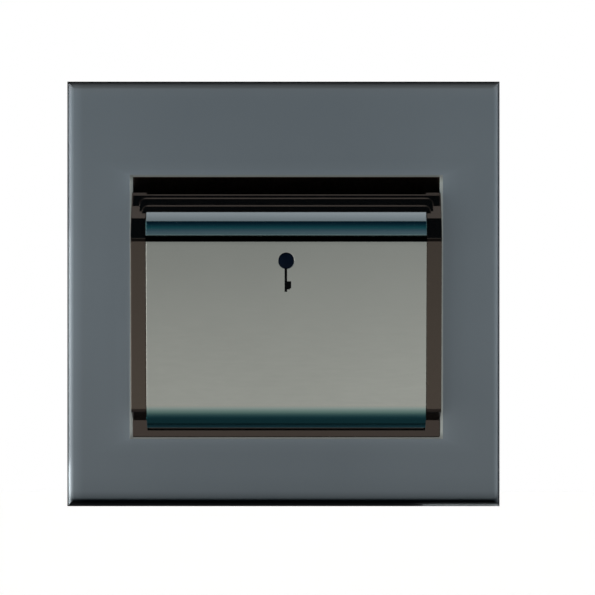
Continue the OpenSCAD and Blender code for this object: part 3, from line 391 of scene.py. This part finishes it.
def window_trim():
    """Bead along the edge of the plate's window, whose light tone is a painted highlight: a thin ring that closes the
    gap round the holder.
    """
    front, back, soft = 5.68 * MM, 5.3 * MM, 0.05 * MM
    side, rail = 0.62 * MM, 0.40 * MM
    half_w, half_h = 30.47 * MM, 25.82 * MM
    bm = bmesh.new()
    rings = []
    for out, lip, at in ((0, 0, back), (0, 0, front - soft), (0, soft, front), (1, -soft, front), (1, 0, front - soft),
                         (1, 0, back)):
        w, h = half_w + out * side + lip, half_h + out * rail + lip
        corners = (-w, -h), (w, -h), (w, h), (-w, h)
        rings.append([bm.verts.new((HOLDER_X + x, -at, WINDOW_Z + z)) for x, z in corners])
    for a, b in zip(rings, rings[1:] + rings[:1]):
        for k in range(4):
            bm.faces.new((a[k], a[(k + 1) % 4], b[(k + 1) % 4], b[k]))
    bmesh.ops.recalc_face_normals(bm, faces=bm.faces)
    mesh_piece("window_trim", bm, bead_highlight_metal, "base")


def coil_spring():
    """Round wire coil between the lever's arm and its cup."""
    radius, wire, turns = 2.0 * MM, 0.25 * MM, 7
    low, high, z0 = 4.10 * MM, 17.50 * MM, -16.5 * MM
    sides, per_turn = 12, 36
    count = turns * per_turn
    along = Vector((0, 1, 0))
    bm = bmesh.new()
    rings = []
    for i in range(count + 1):
        angle = 2 * math.pi * i / per_turn
        rise = wire + (high - low - 2 * wire) * i / count
        mid = Vector((radius * math.cos(angle), low + rise, z0 + radius * math.sin(angle)))
        out = Vector((math.cos(angle), 0, math.sin(angle)))
        rings.append([
            bm.verts.new(mid + wire * (math.cos(t) * out + math.sin(t) * along))
            for t in (2 * math.pi * k / sides for k in range(sides))
        ])
    for a, b in zip(rings, rings[1:]):
        for k in range(sides):
            face = bm.faces.new((a[k], a[(k + 1) % sides], b[(k + 1) % sides], b[k]))
            face.smooth = True
    bm.faces.new(list(reversed(rings[0])))
    bm.faces.new(rings[-1])
    bmesh.ops.recalc_face_normals(bm, faces=bm.faces)
    obj = mesh_piece("coil_spring", bm, spring_steel, "base")
    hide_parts("return_spring")
    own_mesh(obj)


key_sign()
window_trim()
coil_spring()


# ---- floor

FLOOR_SIZE = 0.7
FLOOR_PLACE = (0, 0.1, -0.085)
FLOOR_TONE = (0.86, 0.86, 0.86, 1)
FLOOR_LIFT = 0.24  # light of the floor that the camera alone sees
MATT = 0.9


def floor():
    """Pale floor, lifted to white for the camera, with the object's soft shadow on it, and clear from below."""
    mat, tree, bsdf = new_material("floor_white")
    bsdf.inputs["Base Color"].default_value = FLOOR_TONE
    bsdf.inputs["Roughness"].default_value = MATT
    path = tree.nodes.new("ShaderNodeLightPath")
    geometry = tree.nodes.new("ShaderNodeNewGeometry")
    white = tree.nodes.new("ShaderNodeEmission")
    both = tree.nodes.new("ShaderNodeAddShader")
    clear = tree.nodes.new("ShaderNodeBsdfTransparent")
    side = tree.nodes.new("ShaderNodeMixShader")
    tree.links.new(maths(tree, "MULTIPLY", path.outputs["Is Camera Ray"], FLOOR_LIFT), white.inputs["Strength"])
    tree.links.new(bsdf.outputs["BSDF"], both.inputs[0])
    tree.links.new(white.outputs["Emission"], both.inputs[1])
    tree.links.new(geometry.outputs["Backfacing"], side.inputs["Fac"])
    tree.links.new(both.outputs["Shader"], side.inputs[1])
    tree.links.new(clear.outputs["BSDF"], side.inputs[2])
    tree.links.new(side.outputs["Shader"], tree.nodes["Material Output"].inputs["Surface"])
    bm = bmesh.new()
    bmesh.ops.create_grid(bm, x_segments=1, y_segments=1, size=FLOOR_SIZE)
    obj = mesh_object("floor", bm, mat)
    obj.location = FLOOR_PLACE
    obj.visible_glossy = False


floor()


# ---- cards along the plate's edges

CARD_BLUE = 0.95  # share of blue in a card's light


def edge_card(name, start, end, level, upright=False, along=(-60, 60)):
    """Card along an edge of the plate, between two (front, height or side) places, for the edge to mirror."""
    mat, _, bsdf = new_material(name)
    bsdf.inputs["Base Color"].default_value = (0, 0, 0, 1)
    bsdf.inputs["Roughness"].default_value = MATT
    bsdf.inputs["Specular IOR Level"].default_value = 0.0
    bsdf.inputs["Emission Color"].default_value = (level, level, CARD_BLUE * level, 1)
    bsdf.inputs["Emission Strength"].default_value = 1.0
    bm = bmesh.new()
    for at, (front, out) in ((along[0], start), (along[1], start), (along[1], end), (along[0], end)):
        corner = (out, -front, at) if upright else (at, -front, out)
        bm.verts.new([value * MM for value in corner])
    bm.faces.new(bm.verts)
    obj = mesh_object(name, bm, mat)
    obj.visible_camera = False
    obj.visible_diffuse = False
    obj.visible_shadow = False
    obj.visible_transmission = False


edge_card("lower_card", (6.4, -40.85), (6.4, -50.0), 0.004)
edge_card("lower_back_card", (1.0, -46.0), (-15.0, -46.0), 0.004)
edge_card("upper_card", (7.5, 41.2), (7.5, 60.0), 0.37)
edge_card("upper_roof_card", (7.5, 46.0), (4.5, 46.0), 0.14)
edge_card("upper_back_card", (4.5, 46.0), (-15.0, 46.0), 0.004)
edge_card("lower_right_card", (2.3, -46.5), (3.5, -46.5), 6.0, along=(28, 60))
edge_card("left_back_card", (4.4, -46.5), (-15.0, -46.5), 0.02, upright=True)
edge_card("left_low_card", (4.7, -46.5), (6.1, -46.5), 12.5, upright=True, along=(-44, -34))
edge_card("left_middle_card", (4.7, -46.5), (5.9, -46.5), 4.6, upright=True, along=(-34, 12))
edge_card("right_back_card", (4.0, 46.5), (-15.0, 46.5), 0.02, upright=True)


# ---- studio: a surround by height angle, bright below and overhead, dark between, with a strip at the left

# Light by the height angle in degrees, 0 in front of the plate, 90 overhead and 180 behind
STUDIO_HEIGHTS = [
    (-180, 0.90), (-154, 0.86), (-147, 0.03), (-118, 0.065), (-71.4, 0.067), (-62, 0.11), (-52.6, 0.22), (-43.8, 0.44),
    (-35, 0.65), (-26.6, 0.95), (-18.2, (1.16, 1.16, 1.06)), (-12.6, (1.30, 1.32, 1.24)), (-10.7, (1.27, 1.27, 1.20)),
    (-9.3, (0.40, 0.44, 0.43)), (-7, (0.46, 0.49, 0.49)), (-3.5, (0.50, 0.53, 0.55)), (0, (0.60, 0.63, 0.63)),
    (3.5, (0.62, 0.64, 0.64)), (6.5, (0.42, 0.43, 0.43)), (10, (0.22, 0.31, 0.33)), (17.5, (0.25, 0.32, 0.37)),
    (23, (0.17, 0.23, 0.29)), (31.8, (0.04, 0.16, 0.19)), (40.6, (0.02, 0.06, 0.09)), (49, (0.004, 0.011, 0.025)),
    (76, (0.006, 0.011, 0.014)), (84, 0.62), (104, 1.09), (112, 0.03), (147, 0.03), (154, 0.86), (180, 0.90),
]
# Light from the left at -1 to the right at 1, next to the level in the middle
STUDIO_MIDDLE = 0.30
STUDIO_SIDES = [
    (-1.0, (2.6, 2.5, 2.45)), (-0.97, (2.0, 1.93, 1.9)), (-0.866, (1.0, 0.97, 0.96)), (-0.68, (0.60, 0.59, 0.58)),
    (-0.45, 0.46), (-0.2, 0.37), (0.0, STUDIO_MIDDLE), (0.2, 0.28), (0.6, 0.29), (0.85, 0.40), (1.0, 0.62),
]
EVEN_LIGHT = (0.92, 0.91, 0.90, 1)
WHITE = (1, 1, 1, 1)


def surround():
    """Banded studio for gloss, even pale light for matt surfaces, and white for the camera."""
    world = bpy.data.worlds.new("studio")
    bpy.context.scene.world = world
    world.use_nodes = True
    world.cycles.sampling_method = "NONE"
    tree = world.node_tree
    way = place(tree, "Generated")
    height = maths(tree, "ARCTAN2", way["Z"], maths(tree, "MULTIPLY", way["Y"], -1.0))
    heights = bands(tree, height, STUDIO_HEIGHTS, math.radians(1))
    sides = bands(tree, way["X"], STUDIO_SIDES, 1.0)
    level = tree.nodes.new("ShaderNodeVectorMath")
    level.operation = "SCALE"
    level.inputs["Scale"].default_value = 1 / STUDIO_MIDDLE
    tree.links.new(mix_colours(tree, heights, sides, 1.0, "MULTIPLY"), level.inputs[0])
    path = tree.nodes.new("ShaderNodeLightPath").outputs
    lit = mix_colours(tree, level.outputs["Vector"], EVEN_LIGHT, path["Is Diffuse Ray"])
    seen = maths(tree, "MAXIMUM", path["Is Camera Ray"], path["Is Transmission Ray"])
    tree.links.new(mix_colours(tree, lit, WHITE, seen), tree.nodes["Background"].inputs["Color"])


surround()
bpy.context.scene.view_settings.view_transform = "Standard"


# ---- camera, square on to the plate

DISTANCE = 680 * MM
VIEW_W = 118.15 * MM
VIEW_X, VIEW_Z = 2.8 * MM, -0.72 * MM
SENSOR = 36
camera_data = bpy.data.cameras.new("camera")
camera_data.sensor_width = SENSOR
camera_data.lens = SENSOR * DISTANCE / VIEW_W
camera = bpy.data.objects.new("camera", camera_data)
camera.location = (VIEW_X, -PLATE_FRONT - DISTANCE, VIEW_Z)
camera.rotation_euler = (math.pi / 2, 0, 0)
bpy.context.scene.collection.objects.link(camera)
bpy.context.scene.camera = camera
